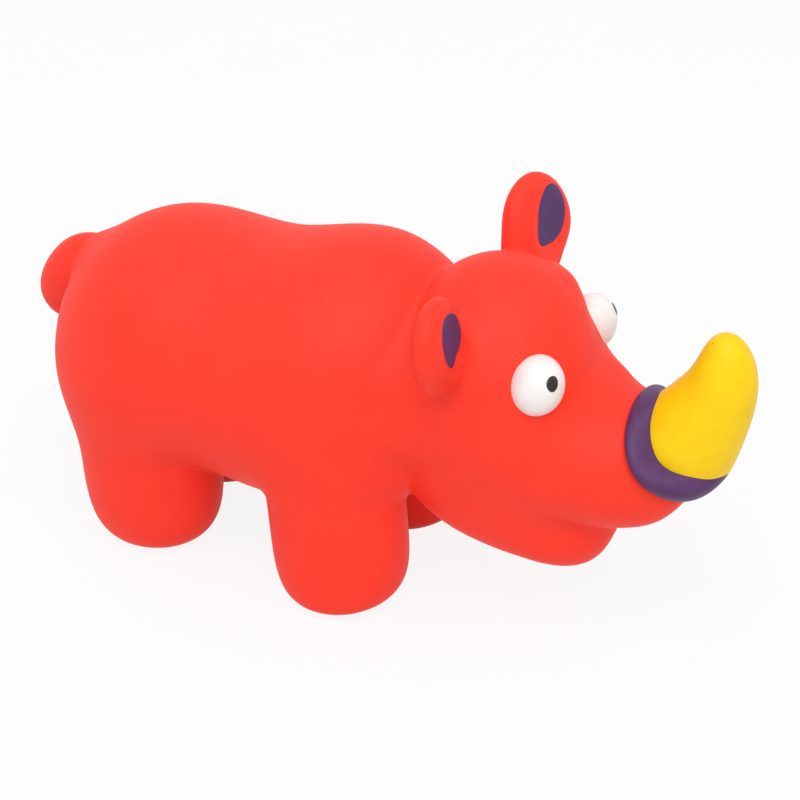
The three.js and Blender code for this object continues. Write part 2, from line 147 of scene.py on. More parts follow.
# Ears: a blade, as [half thickness, half width] at four heights, of which the lowest is each ear's own
# foot. The outer side of each bulges about a height, or is tucked in below one. The cup is a dish in the
# front, and the lining a patch of paint in it, drawn out to a tip and flattened on one side: for both, the
# angle round the patch in degrees and the share of its size.
EAR_BLADE = [
    [4.8, 8],
    [5.3, 10.5],
    [5.4, 12.2],
    [5, 12],
]
EAR_HEIGHTS = (-7.0, 3.0, 13.0)
EAR_ENDS = (5.0, 2.2)
EAR_BULGE = (5.6, 8.0)
EAR_TUCK = (-18.0, -6.0)
EAR_CUP_FORWARD = 6.2
EAR_CUP_RADII = (2.5, 8.9, 11.5)
EAR_CUP_EDGE = 1.6
EAR_ROOT_TOP = -8.0
EAR_BEND = (-9.0, 0.0)
EAR_REACH = 20.0
LEFT_EAR = {
    "place": (31.4, 32.5, 85),
    "lean": 35,
    "back": 5,
    "turn": -20,
    "size": 1,
    "foot": -16.84,
    "outer": (1, 0.11, 0),
    "cup": (0.8, 2.8),
    "lining": (5.8, 7.7),
    "tip": (212, 0.3),
    "flat": (136, 0.13),
}
RIGHT_EAR = {
    "place": (32.6, -31.9, 83),
    "lean": -36,
    "back": 0,
    "turn": 6,
    "size": 0.88,
    "foot": -17.49,
    "outer": (-1, 0, 0.45),
    "cup": (1.5, 1.2),
    "lining": (6.4, 8.1),
    "tip": (240, 0.08),
    "flat": (190, 0.26),
}
LINING_FILM = 0.15
LINING_ROOT = 0.4
LINING_THINNING = 6
LINING_TIP_SPREAD = 0.4
LINING_FLAT_SPREAD = 0.85
ROOT_INSET = 0.4

# Tail: [x, z, radius] along its curl
TAIL = [
    [-71.3, 65.5, 8],
    [-80.3, 67, 7.5],
    [-86.5, 63, 7],
    [-91.2, 56.3, 6],
    [-90.5, 48.8, 5],
]
TAIL_ENDS = (4.0, 2.2)
TAIL_ROOT = [
    [-71.3, 65.5, 8, 8],
    [-77.5, 66.6, 7.3, 7.3],
    [-84, 65, 5.6, 5.6],
]
TAIL_CLEARANCE = 0.4
TAIL_FREE = 0.42

# Horn: [x, z, radius] from its foot to its tip
HORN = [
    [80.5, 51.3, 13.4],
    [87, 65, 9.6],
    [88.8, 74.5, 7.2],
    [87.7, 82.7, 5.8],
]
HORN_ENDS = (12.0, 2.4)

# Ring: a bead from an oval on the snout, [x, z, tilt, half height, half width], that droops at its sides,
# to an edge on the horn. The edge's place, as a share of the horn's length, and the bead's swell are waves
# round the horn from its rear: [mean, once, twice, three times]. The horn's own skin starts a little below
# that edge.
COLLAR_FOOT = (76.4, 52.3, 36.6, 12, 14.8)
COLLAR_DROOP = 2.6
COLLAR_EDGE = (0.092, 0.038, 0.051, 0.013)
COLLAR_SWELL = (2.3, -0.2, -1.1, -0.2)
COLLAR_ROUNDNESS = 0.8
COLLAR_PROUD = 0.3
COLLAR_SINK = 1.5
COLLAR_BITE = 0.25
COLLAR_CORE = 0.8
HORN_TUCK = 0.03

# Eyes: balls, and pupils by their half angles from the gaze in radians, with shares of the ball for heights
EYE_RADII = (6.15, 7.0, 7.0)
LEFT_EYE = {"centre": (51.9, 18, 69.2), "gaze": (0.76, 0.46, 0.45)}
RIGHT_EYE = {"centre": (51.2, -18, 70.5), "gaze": (0.76, -0.46, 0.45)}
PUPIL_HALF = (0.245, 0.265)
PUPIL_DOME = 0.03
PUPIL_ROOT = 0.06
PUPIL_THINNING = 4

# Brushed edges of the paint: the height, the count round the edge and the phase of each ripple
LINING_RIPPLES = ((0.01, 3, 1.0), (0.006, 7, 0.0))
COLLAR_RIPPLES = ((0.004, 4, 3.5), (0.003, 7, 2.5))
PUPIL_RIPPLES = ((0.05, 2, 0.6), (0.03, 3, 0.0))

# Stuffing: the boxes that hold it, its cells, and its lumps, by the lengths of three crossed waves
FIBRE_BOXES = {
    "torso": ((-90, -40, 8), (40, 40, 96)),
    "head": ((0, -38, 0), (92, 38, 102)),
}
FIBRE_CELL = 2.5
LUMP_HEIGHT = 0.5
LUMP_WAVES = ((3.1, 4.3), (2.9, -3.7), (3.3, 4.9))

# Rows along a piece and columns round it, points on a rounded corner and the most of a side that it takes
BLADE_GRID = (130, 180)
LINING_GRID = (30, 144)
TAIL_GRID = (110, 72)
HORN_GRID = (110, 96)
COLLAR_GRID = (44, 160)
EYE_GRID = (64, 96)
PUPIL_ROWS = 14
SLEEVE_COLUMNS = 96
CORNER_POINTS = 5
CORNER_MOST = 0.4
EAR_SAMPLES = 400


class Curve:
    """Natural cubic spline through evenly spaced values, t from 0 to 1, carried on straight past its ends."""

    def __init__(self, values):
        self.values = np.asarray(values, float)
        self.last = len(self.values) - 1
        self.bend = np.zeros(self.last + 1)
        if self.last > 1:
            inner = self.last - 1
            system = 4 * np.eye(inner) + np.eye(inner, k=1) + np.eye(inner, k=-1)
            self.bend[1:-1] = np.linalg.solve(system, 6 * np.diff(self.values, 2))

    def __call__(self, t):
        """Value and slope at t."""
        held = np.clip(t, 0, 1)
        at = np.minimum((held * self.last).astype(int), self.last - 1)
        b = held * self.last - at
        a = 1 - b
        low, high = self.values[at], self.values[at + 1]
        low_bend, high_bend = self.bend[at], self.bend[at + 1]
        value = a * low + b * high + ((a**3 - a) * low_bend + (b**3 - b) * high_bend) / 6
        slope = high - low + ((3 * b * b - 1) * high_bend - (3 * a * a - 1) * low_bend) / 6
        slope = slope * self.last
        return value + (t - held) * slope, slope


class Form:
    """A swollen form along a spine in a plane of constant y: elliptical sections that close at both ends."""

    def __init__(self, stations, ends, side=0.0, upright=False, turns=0):
        columns = np.array(stations, float).T
        self.x, self.z, self.high, self.wide = (Curve(column) for column in columns)
        self.start = columns[:2, 0]
        self.chord = columns[:2, -1] - columns[:2, 0]
        self.ends = ends
        self.side = side
        self.upright = upright
        self.turns = turns

    def distance(self, x, y, z):
        """Distance from the form's surface, to first order, negative inside.

        With v the place along the spine, from -1 to 1, and r the place in the section, where 1 is its
        outline, the surface is g = (r^n + |v|^n)^(1/n) = 1, and the distance is (g - 1) over the steepness
        of g.
        """
        if self.upright:
            t = (x - self.start[0]) / self.chord[0]
        else:
            along = (x - self.start[0]) * self.chord[0] + (z - self.start[1]) * self.chord[1]
            t = along / (self.chord @ self.chord)
        for _ in range(self.turns):
            (sx, dx), (sz, dz) = self.x(t), self.z(t)
            step = ((x - sx) * dx + (z - sz) * dz) / (dx * dx + dz * dz)
            t = np.clip(t + step, -SPINE_REACH, 1 + SPINE_REACH)
        (sx, dx), (sz, dz) = self.x(t), self.z(t)
        if self.upright:
            dz = 0 * dz
        speed = np.hypot(dx, dz)
        up = (-(x - sx) * dz + (z - sz) * dx) / speed
        held = np.clip(t, 0, 1)
        high, wide = self.high(held)[0], self.wide(held)[0]
        across = y - self.side
        v = np.abs(2 * t - 1)
        n = np.where(t < 0.5, *self.ends)
        r = np.maximum(np.hypot(up / high, across / wide), 1e-6)
        g = (r**n + v**n) ** (1 / n)
        r_rise = np.hypot(up / high**2, across / wide**2) / r
        steep = np.hypot((r / g) ** (n - 1) * r_rise, (v / g) ** (n - 1) * 2 / speed)
        return (g - 1) / np.maximum(steep, 1e-3)


def smoothstep(value, low, high):
    """0 before low, 1 after high, and an S-curve between them."""
    t = np.clip((value - low) / (high - low), 0, 1)
    return t * t * (3 - 2 * t)


def window(value, rise_from, rise_to, fall_from, fall_to):
    """1 in a band and 0 outside it, with an S-curve at each side."""
    return smoothstep(value, rise_from, rise_to) * (1 - smoothstep(value, fall_from, fall_to))


def hump(value, centre, spread):
    """A bump of height 1 about a centre, that fades over the spread."""
    return np.exp(-(((value - centre) / spread) ** 2))


def unit(vectors):
    """Vectors scaled to length 1."""
    return vectors / np.linalg.norm(vectors, axis=-1, keepdims=True)


def circle(count):
    """Equally spaced angles once round."""
    return np.linspace(0, 2 * np.pi, count, endpoint=False)


def eased(count):
    """Places from 0 to 1, closer together towards both ends."""
    return (1 - np.cos(np.pi * np.linspace(0, 1, count))) / 2


def merge(a, b, fillet):
    """The lesser of two distances, with a rounded change from one to the other as wide as the fillet."""
    blend = np.maximum(fillet - np.abs(a - b), 0) / fillet
    return np.minimum(a, b) - blend * blend * fillet / 4


def between(fillets, share):
    """A fillet between the tight and the wide one."""
    tight, wide = fillets
    return tight + (wide - tight) * share


def leg_form(leg, side):
    """A stump leg, on the left for side 1 and on the right for side -1."""
    return Form([leg["sole"], leg["hip"]], leg["ends"], side * leg["y"])


torso_form = Form(TORSO, TORSO_ENDS, upright=True)
skull_form = Form(SKULL, SKULL_ENDS, turns=6)
jaw_form = Form(JAW, JAW_ENDS, turns=5)
tail_root_form = Form(TAIL_ROOT, TAIL_ENDS, turns=4)
leg_forms = {
    "front_left_leg": leg_form(FRONT_LEG, 1),
    "front_right_leg": leg_form(FRONT_LEG, -1),
    "rear_left_leg": leg_form(REAR_LEG, 1),
    "rear_right_leg": leg_form(REAR_LEG, -1),
}


def head_distance(x, y, z):
    """Skull and jaw, with a crease at the lips that fades to the cheeks, and the brow by the left eye."""
    fillet = between(MOUTH_FILLETS, 1 - smoothstep(x, *MOUTH_BAND))
    brow = sum(depth * hump(z, height, spread) for height, spread, depth in BROW)
    here = smoothstep(y, *BROW_SIDE) * window(x, *BROW_BAND)
    skull = skull_form.distance(x, y, z) + here * brow
    return merge(skull, jaw_form.distance(x, y, z), fillet)


def turn_about(axis, degrees):
    """Rotation matrix about a coordinate axis, right-handed."""
    c, s = math.cos(math.radians(degrees)), math.sin(math.radians(degrees))
    turn = np.eye(3)
    i, j = (axis + 1) % 3, (axis + 2) % 3
    turn[[i, i, j, j], [i, j, i, j]] = c, -s, s, c
    return turn


def ear_turn(ear):
    """Rotation from the ear's own axes, x forward through the blade, y across and z up it, to the frame."""
    return turn_about(0, -ear["lean"]) @ turn_about(1, -ear["back"]) @ turn_about(2, ear["turn"])


def ear_share(ear, y, z):
    """Width of the blade's outer side as a share of its inner: full in the middle, less at the foot."""
    side, bulge, tuck = ear["outer"]
    share = 1 + bulge * hump(z, *EAR_BULGE) - tuck * (1 - smoothstep(z, *EAR_TUCK))
    return np.where(y * side > 0, share, 1)


def ear_root_distance(ear, x, y, z):
    """The foot of an ear, a little slimmer than the blade on it. Far off, only a lesser distance."""
    offset = np.stack([x, y, z], -1) - ear["place"]
    distance = np.linalg.norm(offset, axis=-1) - EAR_REACH
    near = distance < 2 * EAR_FILLET
    x, y, z = (offset[near] @ ear_turn(ear) / ear["size"]).T
    stations = [[0, height, *half] for height, half in zip((ear["foot"], *EAR_HEIGHTS), EAR_BLADE)]
    blade = Form(stations, EAR_ENDS, turns=2).distance(x, y / ear_share(ear, y, z), z)
    distance[near] = ear["size"] * np.maximum(blade + ROOT_INSET, z - EAR_ROOT_TOP)
    return distance


def form_distances(x, y, z):
    """Distance of each named part of the skin on its own."""
    parts = {"torso_skin": torso_form.distance(x, y, z), "head_skin": head_distance(x, y, z)}
    parts.update({name: form.distance(x, y, z) for name, form in leg_forms.items()})
    return parts


def leg_fillet(x, z):
    """Fillet of torso and legs: tight low down between the legs and at the throat, and wide elsewhere."""
    tight = np.maximum(window(x, *BELLY_BAND), smoothstep(x, *THROAT_BAND))
    return between(LEG_FILLETS, 1 - tight * (1 - smoothstep(z, *LEG_BAND)))


def body_distance(x, y, z):
    """Torso, legs and head, run together: sharp at the belly, the nape and the throat, soft on the sides."""
    parts = form_distances(x, y, z)
    legs = np.minimum.reduce([parts[name] for name in leg_forms])
    body = merge(parts["torso_skin"], legs, leg_fillet(x, z))
    return merge(body, parts["head_skin"], between(NECK_FILLETS, window(z, *NECK_BAND)))


def skin_distance(x, y, z):
    """The whole moulded skin: body, roots of tail and ears, flat soles and a hole for the squeaker."""
    whole = body_distance(x, y, z)
    tail_fillet = between(TAIL_FILLETS, smoothstep(z, *TAIL_BAND))
    whole = merge(whole, tail_root_form.distance(x, y, z), tail_fillet)
    for ear in (LEFT_EAR, RIGHT_EAR):
        whole = merge(whole, ear_root_distance(ear, x, y, z), EAR_FILLET)
    reach = np.hypot(x - SQUEAKER_X, y)
    rim = np.maximum(reach - BELLY_RIM_RADIUS, BELLY_Z - z)
    rim = np.maximum(rim, z - BELLY_Z - 2 * BELLY_RIM_HEIGHT)
    whole = merge(whole, rim, BELLY_EDGE)
    spot_face = np.maximum(reach - BELLY_RIM_RADIUS - BELLY_EDGE, z - BELLY_Z)
    hole = np.maximum(reach - SQUEAKER_RADIUS - SQUEAKER_FIT, z - BELLY_Z - 2 * BELLY_RIM_HEIGHT)
    whole = -merge(-whole, np.minimum(spot_face, hole), SQUEAKER_EDGE)
    return -merge(-whole, z, SOLE_EDGE)


def value_and_slope(field, points):
    """Value and gradient of a field at points, by small steps forward."""
    value = field(*points.T)
    rises = [field(*(points + step).T) - value for step in FIELD_STEP * np.eye(3)]
    return value, np.stack(rises, 1) / FIELD_STEP


def settle(field, points, level=0.0, rounds=2):
    """Points moved along the field's gradient until they lie on the level."""
    for _ in range(rounds):
        value, slope = value_and_slope(field, points)
        step = (value - level) / np.maximum((slope * slope).sum(1), LEAST_SLOPE)
        points = points - slope * step[:, None]
    return points


def net(field, low, high, cell):
    """A rough net of quads over the surface where a field is zero.

    Each cell of a lattice that the surface crosses gets one point, the mean of the crossings on its edges,
    and each lattice edge that crosses gets the quad of its four cells.
    """
    axes = [np.arange(a, b + cell, cell) for a, b in zip(low, high)]
    values = field(*np.meshgrid(*axes, indexing="ij"))
    inside = values < 0
    nx, ny, nz = np.array(inside.shape) - 1
    corners = [inside[i : i + nx, j : j + ny, k : k + nz] for i, j, k in product((0, 1), repeat=3)]
    count = sum(corner.astype(np.int8) for corner in corners)
    crossed = (count > 0) & (count < len(corners))
    cells = np.argwhere(crossed)
    number = np.full(crossed.shape, -1)
    number[crossed] = np.arange(len(cells))
    total = np.zeros((len(cells), 3))
    hits = np.zeros(len(cells))
    faces = []
    for axis in range(3):
        along, u, v = np.roll(np.eye(3, dtype=int), -axis, 0)
        for a, b in product((0, 1), repeat=2):
            near = cells + a * u + b * v
            at = values[tuple(near.T)]
            to = values[tuple((near + along).T)]
            hit = (at < 0) != (to < 0)
            share = np.where(hit, at / np.where(hit, at - to, 1), 0)
            total += hit[:, None] * (near + share[:, None] * along)
            hits += hit
        starts = np.argwhere(np.diff(inside.astype(np.int8), axis=axis) != 0)
        ring = [starts, starts - u, starts - u - v, starts - v]
        quads = np.stack([number[tuple(place.T)] for place in ring], 1)
        leaving = inside[tuple(starts.T)]
        faces.append(np.where(leaving[:, None], quads, quads[:, ::-1]))
    return np.array(low) + cell * total / hits[:, None], np.concatenate(faces)


def wrap(field, low, high, cell, rounds=6):
    """Quads over the surface where a field is zero, evened out along it.

    In each round every point goes half way to the middle of its neighbours and back onto the zero level.
    """
    points, faces = net(field, low, high, cell)
    a, b = faces.ravel(), np.roll(faces, -1, 1).ravel()
    size = len(points)
    degree = np.bincount(a, minlength=size) + np.bincount(b, minlength=size)
    for _ in range(rounds):
        sums = [np.bincount(a, at[b], size) + np.bincount(b, at[a], size) for at in points.T]
        middle = np.stack(sums, 1)
        points = settle(field, 0.5 * points + 0.5 * middle / degree[:, None], rounds=1)
    return settle(field, points), faces


def build(name, points, faces, normals=None):
    """A smooth-shaded mesh object from points in millimetres."""
    mesh = bpy.data.meshes.new(name)
    mesh.from_pydata((points * MM).tolist(), [], faces if isinstance(faces, list) else faces.tolist())
    mesh.polygons.foreach_set("use_smooth", np.ones(len(mesh.polygons), bool))
    mesh.update()
    if normals is not None:
        mesh.normals_split_custom_set_from_vertices(normals.tolist())
    piece = bpy.data.objects.new(name, mesh)
    bpy.context.scene.collection.objects.link(piece)
    return piece


def shell(name, points, normals, faces, wall):
    """A closed shell of even wall: the outside, the same faces drawn in by it, and quads at the edges."""
    used, faces = np.unique(faces, return_inverse=True)
    faces = faces.reshape(-1, 4)
    outer, facing = points[used], normals[used]
    a, b = faces.ravel(), np.roll(faces, -1, 1).ravel()
    one_way = a * len(outer) + b
    rim = ~np.isin(one_way, b * len(outer) + a)
    edge = np.stack([b[rim], a[rim], a[rim] + len(outer), b[rim] + len(outer)], 1)
    every = np.concatenate([faces, faces[:, ::-1] + len(outer), edge])
    both = np.concatenate([outer, outer - wall * facing])
    return build(name, both, every, np.concatenate([facing, -facing]))


def inside_out(points, quads):
    """True if the quads face inwards: the volume that they sweep about their middle is negative."""
    a, b, c, d = (points[quads[:, k]] - points.mean(0) for k in range(4))
    return (np.cross(c - a, d - b) * (a + b + c + d)).sum() < 0


def closed_grid(name, points):
    """A closed skin over rings of points: rows along, columns round, with a pole at each end row."""
    rows, columns = points.shape[:2]
    inner = points[1:-1].reshape(-1, 3)
    poles = np.stack([points[0].mean(0), points[-1].mean(0)])
    at = np.arange(len(inner)).reshape(rows - 2, columns)
    after = np.roll(at, -1, 1)
    quads = np.stack([at[:-1], at[1:], after[1:], after[:-1]], -1).reshape(-1, 4)
    first, last = np.full(columns, len(inner)), np.full(columns, len(inner) + 1)
    caps = np.concatenate([np.stack([first, at[0], after[0]], 1), np.stack([last, after[-1], at[-1]], 1)])
    if inside_out(inner, quads):
        quads, caps = quads[:, ::-1], caps[:, ::-1]
    return build(name, np.concatenate([inner, poles]), quads.tolist() + caps.tolist())


def ring_grid(name, points):
    """A closed skin that runs round in both directions of its grid."""
    at = np.arange(points.shape[0] * points.shape[1]).reshape(points.shape[:2])
    across, down = np.roll(at, -1, 1), np.roll(at, -1, 0)
    faces = np.stack([at, down, np.roll(down, -1, 1), across], -1).reshape(-1, 4)
    flat = points.reshape(-1, 3)
    return build(name, flat, faces[:, ::-1] if inside_out(flat, faces) else faces)


def closing(t, ends):
    """Share of a section's full size at place t from 0 to 1: (1 - |v|^n)^(1/n), with v from -1 to 1."""
    v = 2 * t - 1
    n = np.where(v < 0, *ends)
    return np.maximum(1 - np.abs(v) ** n, 0) ** (1 / n)


def on_loft(stations, ends, t, angle):
    """Points round a curved spine [x, z, radius], at places t along it and angles from its upper side.

    At place t the ring has the radius times (1 - |v|^n)^(1/n), with v from -1 to 1 along the spine. The
    points of the spine itself come second.
    """
    x, z, radius = (Curve(column) for column in np.array(stations, float).T)
    (sx, dx), (sz, dz) = x(t), z(t)
    speed = np.hypot(dx, dz)
    size = radius(t)[0] * closing(t, ends)
    up, side = size * np.cos(angle), size * np.sin(angle)
    points = np.stack([sx - up * dz / speed, side, sz + up * dx / speed], -1)
    return points, np.stack([sx, 0 * sx, sz], -1)


def add(tree, kind, inputs=None, **settings):
    """A node with its own settings, and its inputs as values or as links from other sockets."""
    made = tree.nodes.new(kind)
    for key, value in settings.items():
        setattr(made, key, value)
    for key, value in (inputs or {}).items():
        if isinstance(value, bpy.types.NodeSocket):
            tree.links.new(value, made.inputs[key])
        else:
            made.inputs[key].default_value = value
    return made


def linear(code):
    """Linear colour of an sRGB hex code."""
    parts = np.array([int(code[i : i + 2], 16) for i in (1, 3, 5)]) / 255
    low, high = parts / 12.92, ((parts + 0.055) / 1.055) ** 2.4
    return (*np.where(parts <= 0.04045, low, high).tolist(), 1.0)


def coat(name, light, dark, mottle, grain, relief, roughness, spread, speck=None, **shader):
    """A coloured, slightly uneven surface.

    Two colours are mixed by a cloudy pattern of the mottle's size, the roughness varies with it by the
    spread, and a fine grain makes the bump. Sizes are in millimetres. speck is the colour, the spacing and
    the size of tiny dots.
    """
    material = bpy.data.materials.new(name)
    material.use_nodes = True
    tree = material.node_tree
    tree.nodes.clear()
    place = add(tree, "ShaderNodeTexCoord").outputs["Object"]
    cloud = add(
        tree,
        "ShaderNodeTexNoise",
        {"Vector": place, "Scale": 1 / (mottle * MM), "Detail": 3.0, "Roughness": 0.55},
    ).outputs["Fac"]
    share = add(
        tree,
        "ShaderNodeMapRange",
        {"Value": cloud, "From Min": 0.3, "From Max": 0.7},
    ).outputs["Result"]
    colour = add(
        tree,
        "ShaderNodeMix",
        {0: share, 6: linear(dark), 7: linear(light)},
        data_type="RGBA",
    ).outputs[2]
    if speck is not None:
        tint, spacing, size = speck
        dots = add(
            tree,
            "ShaderNodeTexVoronoi",
            {"Vector": place, "Scale": 1 / (spacing * MM)},
        ).outputs["Distance"]
        dotted = add(
            tree,
            "ShaderNodeMapRange",
            {"Value": dots, "From Min": size / spacing, "From Max": 0.6 * size / spacing},
        ).outputs["Result"]
        colour = add(
            tree,
            "ShaderNodeMix",
            {0: dotted, 6: colour, 7: linear(tint)},
            data_type="RGBA",
        ).outputs[2]
    rough = add(
        tree,
        "ShaderNodeMapRange",
        {"Value": cloud, "To Min": roughness - spread, "To Max": roughness + spread},
    ).outputs["Result"]
    fine = add(
        tree,
        "ShaderNodeTexNoise",
        {"Vector": place, "Scale": 1 / (grain * MM), "Detail": 2.0},
    ).outputs["Fac"]
    bump = add(
        tree,
        "ShaderNodeBump",
        {"Height": fine, "Strength": 1.0, "Distance": relief * MM},
    ).outputs["Normal"]
    sockets = {key.replace("_", " "): value for key, value in shader.items()}
    surface = add(
        tree,
        "ShaderNodeBsdfPrincipled",
        {"Base Color": colour, "Roughness": rough, "Normal": bump, **sockets},
    )
    add(tree, "ShaderNodeOutputMaterial", {"Surface": surface.outputs["BSDF"]})
    return material


# Pigmented natural latex, slush moulded: an even satin skin, faint clouds of pigment, a fine orange peel
latex = coat(
    "slush_moulded_latex", "#FF3B27", "#FB3724",
    mottle=9, grain=0.7, relief=0.02, roughness=0.55, spread=0.05, Specular_IOR_Level=0.25,
)
# Brushed latex paint: thin, satin, a little streaky where the brush lifted, with a few specks of dust
purple = coat(
    "brushed_purple_paint", "#5B3567", "#502C5A",
    mottle=4, grain=0.9, relief=0.03, roughness=0.5, spread=0.06, speck=("#D9CFE0", 9, 0.25),
    Specular_IOR_Level=0.3,
)
lining_purple = coat(
    "brushed_lining_paint", "#533067", "#482858",
    mottle=4, grain=0.9, relief=0.03, roughness=0.55, spread=0.06, Specular_IOR_Level=0.3,
)
yellow = coat(
    "brushed_yellow_paint", "#FAD20C", "#F5C807",
    mottle=5, grain=0.9, relief=0.03, roughness=0.45, spread=0.05, speck=("#8A6A1E", 11, 0.25),
    Specular_IOR_Level=0.2,
)
white = coat(
    "brushed_white_paint", "#F4F1EF", "#ECE8E6",
    mottle=4, grain=1.0, relief=0.02, roughness=0.35, spread=0.04, IOR=1.5,
)
black = coat(
    "brushed_black_paint", "#1A1718", "#100E0F",
    mottle=2, grain=0.8, relief=0.02, roughness=0.35, spread=0.05, IOR=1.5,
)
# Carded polyester fibre: matt, off white, lumpy
fibre = coat(
    "carded_polyester_fibre", "#F1EEE6", "#E2DDD2",
    mottle=3, grain=0.5, relief=0.25, roughness=0.95, spread=0.03, Sheen_Weight=0.3,
)
# Injection moulded polyethylene: waxy, slightly translucent white
polyethylene = coat(
    "moulded_polyethylene", "#ECEAE3", "#E4E1D8",
    mottle=6, grain=0.5, relief=0.01, roughness=0.4, spread=0.05, IOR=1.51,
)
# Polyester film: thin, smooth and shiny
film = coat(
    "polyester_film", "#C4D8E1", "#B6CCD6",
    mottle=3, grain=0.4, relief=0.005, roughness=0.18, spread=0.03, IOR=1.57,
)


def dress(piece, material, slot, *nodes):
    """Gives a new piece its material and hides the nodes that it stands for. The slot is not used."""
    piece.data.materials.clear()
    piece.data.materials.append(material)
    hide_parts(*nodes)
    return piece


def make_skin():
    """The moulded skin, cut into one shell for each part of it, and a cap on each side that gives."""
    points, faces = wrap(skin_distance, *SKIN_BOX, SKIN_CELL)
    normals = unit(value_and_slope(skin_distance, points)[1])
    middle = points[faces].mean(1)
    reach = np.hypot(middle[:, 0] - SQUEAKER_X, middle[:, 1])
    rise = middle[:, 2] - BELLY_Z
    pocket = (reach < SQUEAKER_RADIUS + POCKET_MARGIN) & (rise > BELLY_RIM_HEIGHT)
    pocket = pocket & (rise < 3 * BELLY_RIM_HEIGHT)
    faces, middle = faces[~pocket], middle[~pocket]
    distances = form_distances(*middle.T)
    names = np.array(list(distances))
    label = names[np.argmin(np.stack(list(distances.values())), 0)]
    aims = {"left_flank": np.array(FLANK_AIM), "right_flank": np.array(FLANK_AIM) * (1, -1, 1)}
    for flank, aim in aims.items():
        label = np.where((middle @ aim > FLANK_START) & (label != "head_skin"), flank, label)
    for name in names:
        piece = shell(name.replace("_skin", "") + "_latex", points, normals, faces[label == name], WALL)
        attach(dress(piece, latex, "red_latex", name), "toy")
    for flank, aim in aims.items():
        own = label == flank
        piece = shell(flank + "_latex", points, normals, faces[own], WALL)
        dress(piece, latex, "red_latex", flank + "_skin")
        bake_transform(piece)


def ear_bowl(ear, y, z):
    """The cup's wall over the blade: the back of an ellipsoid, carried on forwards past its edge."""
    across, up = ear["cup"]
    deep, wide, high = EAR_CUP_RADII
    left = 1 - ((y - across) / wide) ** 2 - ((z - up) / high) ** 2
    return EAR_CUP_FORWARD - deep * np.sign(left) * np.sqrt(np.abs(left))


def ear_sizes(ear, t):
    """Height, half thickness and half width of the blade at place t from its foot to its tip."""
    close = closing(t, EAR_ENDS)
    thick, wide = (Curve(column)(t)[0] * close for column in np.array(EAR_BLADE, float).T)
    return Curve([ear["foot"], *EAR_HEIGHTS])(t)[0], thick, wide


def ear_front(ear, y, z):
    """Front of the blade, pressed in by the cup, over a place across and up it."""
    height, thick, wide = ear_sizes(ear, np.linspace(0, 1, EAR_SAMPLES))
    thick = np.interp(z, height, thick)
    wide = np.interp(z, height, wide) * ear_share(ear, y, z)
    crown = thick * np.sqrt(np.maximum(1 - (y / wide) ** 2, 0))
    return merge(crown, ear_bowl(ear, y, z), EAR_CUP_EDGE)


def around(angle, degrees, spread):
    """A bump of height 1 about a direction, in degrees, that fades over the spread, in radians."""
    return hump(np.angle(np.exp(1j * (angle - math.radians(degrees)))), 0, spread)


def ripple(waves, angle):
    """The unsteady edge that a brush leaves, as a sum of waves round it."""
    return sum(height * np.sin(count * angle + phase) for height, count, phase in waves)


def over_and_under(rows):
    """Places on a patch, from its middle to its edge and back underneath, and whether each is on top."""
    grow = np.concatenate([np.linspace(0, 1, rows), np.linspace(1, 0, rows)[1:]])[:, None]
    return grow, np.arange(len(grow))[:, None] < rows


def ear_to_frame(ear, local):
    """Points given in an ear's own axes, in the frame."""
    return np.array(ear["place"]) + ear["size"] * local @ ear_turn(ear).T


def bend_with_ear(piece, ear):
    """Bakes the piece's placing into its mesh. The ear's bend, from its foot upwards, is worked out as two
    points but not used.
    """
    start, end = (Vector(ear_to_frame(ear, np.array([0, 0, height])) * MM) for height in EAR_BEND)
    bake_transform(piece)


def make_ear(side, ear):
    """A blade of elliptical sections with a cup pressed into its front."""
    rows, columns = BLADE_GRID
    angle = circle(columns)
    z, thick, wide = (column[:, None] for column in ear_sizes(ear, eased(rows)))
    x, y, z = -thick * np.cos(angle), wide * np.sin(angle), z + 0 * angle
    y = y * ear_share(ear, y, z)
    x = np.where(x > 0, merge(x, ear_bowl(ear, y, z), EAR_CUP_EDGE), x)
    blade = closed_grid(side + "_ear_latex", ear_to_frame(ear, np.stack([x, y, z], -1)))
    dress(blade, latex, "red_latex", side + "_ear")
    bend_with_ear(blade, ear)


def make_lining(side, ear):
    """The patch of paint in the cup: a drop with a brushed edge, thinnest there."""
    rows, columns = LINING_GRID
    ring = circle(columns)
    grow, top = over_and_under(rows)
    tip, pull = ear["tip"]
    flat, press = ear["flat"]
    edge = 1 + pull * around(ring, tip, LINING_TIP_SPREAD) - press * around(ring, flat, LINING_FLAT_SPREAD)
    edge = edge + ripple(LINING_RIPPLES, ring)
    y = ear["cup"][0] + grow * ear["lining"][0] * edge * np.sin(ring)
    z = ear["cup"][1] + grow * ear["lining"][1] * edge * np.cos(ring)
    x = ear_front(ear, y, z) + np.where(top, LINING_FILM, -LINING_ROOT) * (1 - grow**LINING_THINNING)
    paint = closed_grid(side + "_ear_lining_paint", ear_to_frame(ear, np.stack([x, y, z], -1)))
    dress(paint, lining_purple, "purple_paint", side + "_ear_lining")
    bend_with_ear(paint, ear)


def make_tail():
    """The curled tail: round sections along its spine, clear of the rump where it hangs free."""
    rows, columns = TAIL_GRID
    t = eased(rows)[:, None]
    points, _ = on_loft(TAIL, TAIL_ENDS, t, circle(columns))
    flat = points.reshape(-1, 3)
    close = body_distance(*flat.T) < TAIL_CLEARANCE
    free = np.repeat(t > TAIL_FREE, columns)
    pushed = settle(body_distance, flat, TAIL_CLEARANCE)
    points = np.where((free & close)[:, None], pushed, flat).reshape(points.shape)
    tail = dress(closed_grid("tail_latex", points), latex, "red_latex", "tail")
    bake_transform(tail)


def varied(waves, angle):
    """A value that varies round a circle, as a sum of waves."""
    return sum(wave * np.cos(times * angle) for times, wave in enumerate(waves))


